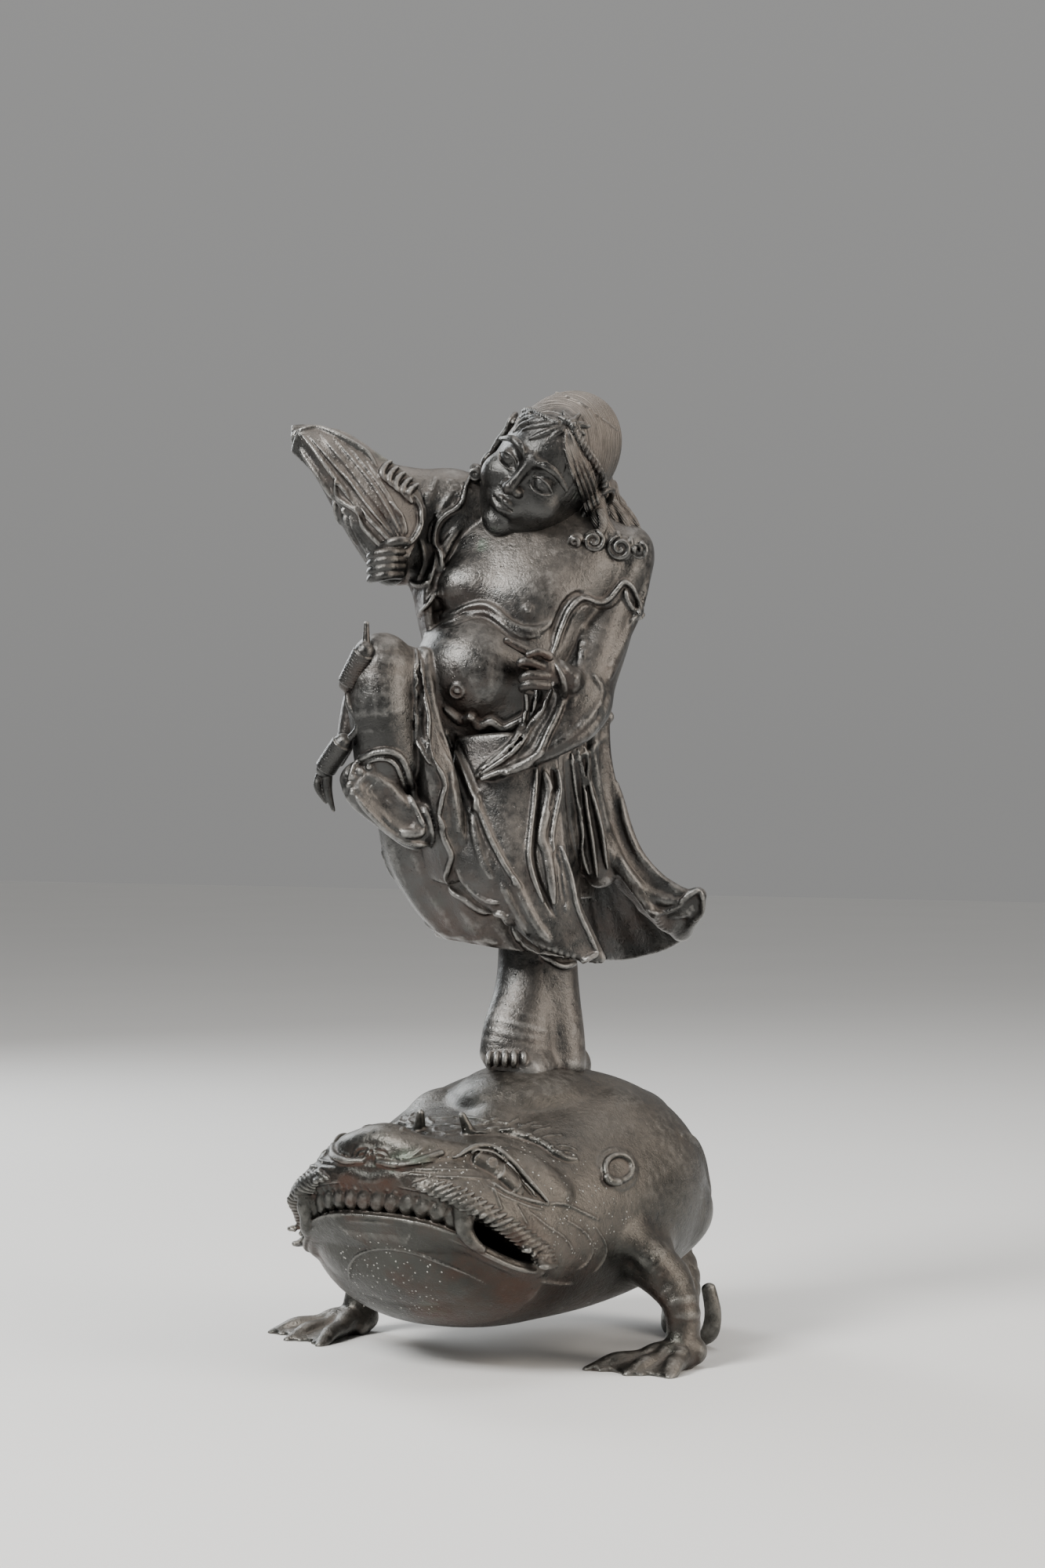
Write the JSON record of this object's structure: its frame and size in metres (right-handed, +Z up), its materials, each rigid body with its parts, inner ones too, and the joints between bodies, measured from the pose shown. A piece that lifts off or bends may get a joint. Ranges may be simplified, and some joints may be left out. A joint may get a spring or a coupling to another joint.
{
  "type": "bronze immortal figure",
  "caption": "Cast bronze statue of a bare-bellied immortal in a flowing coat, dancing on the back of a wide-mouthed toad with a leaf fan raised.",
  "frame": {"origin": "centre of the statue's footprint, on the floor under the toad's feet", "axes": "+Z up, -Y the way the toad faces, +X towards the toad's left"},
  "size_m": [0.2437, 0.2494, 0.4844],
  "materials": {
    "immortal": "dark patinated bronze, rubbed bright on the high places, dusty in the folds",
    "toad": "dark patinated bronze, satin, with pits and punched dots"
  },
  "bodies": {
    "root": {"immortal": "immortal", "toad": "toad"}
  },
  "joints": []
}
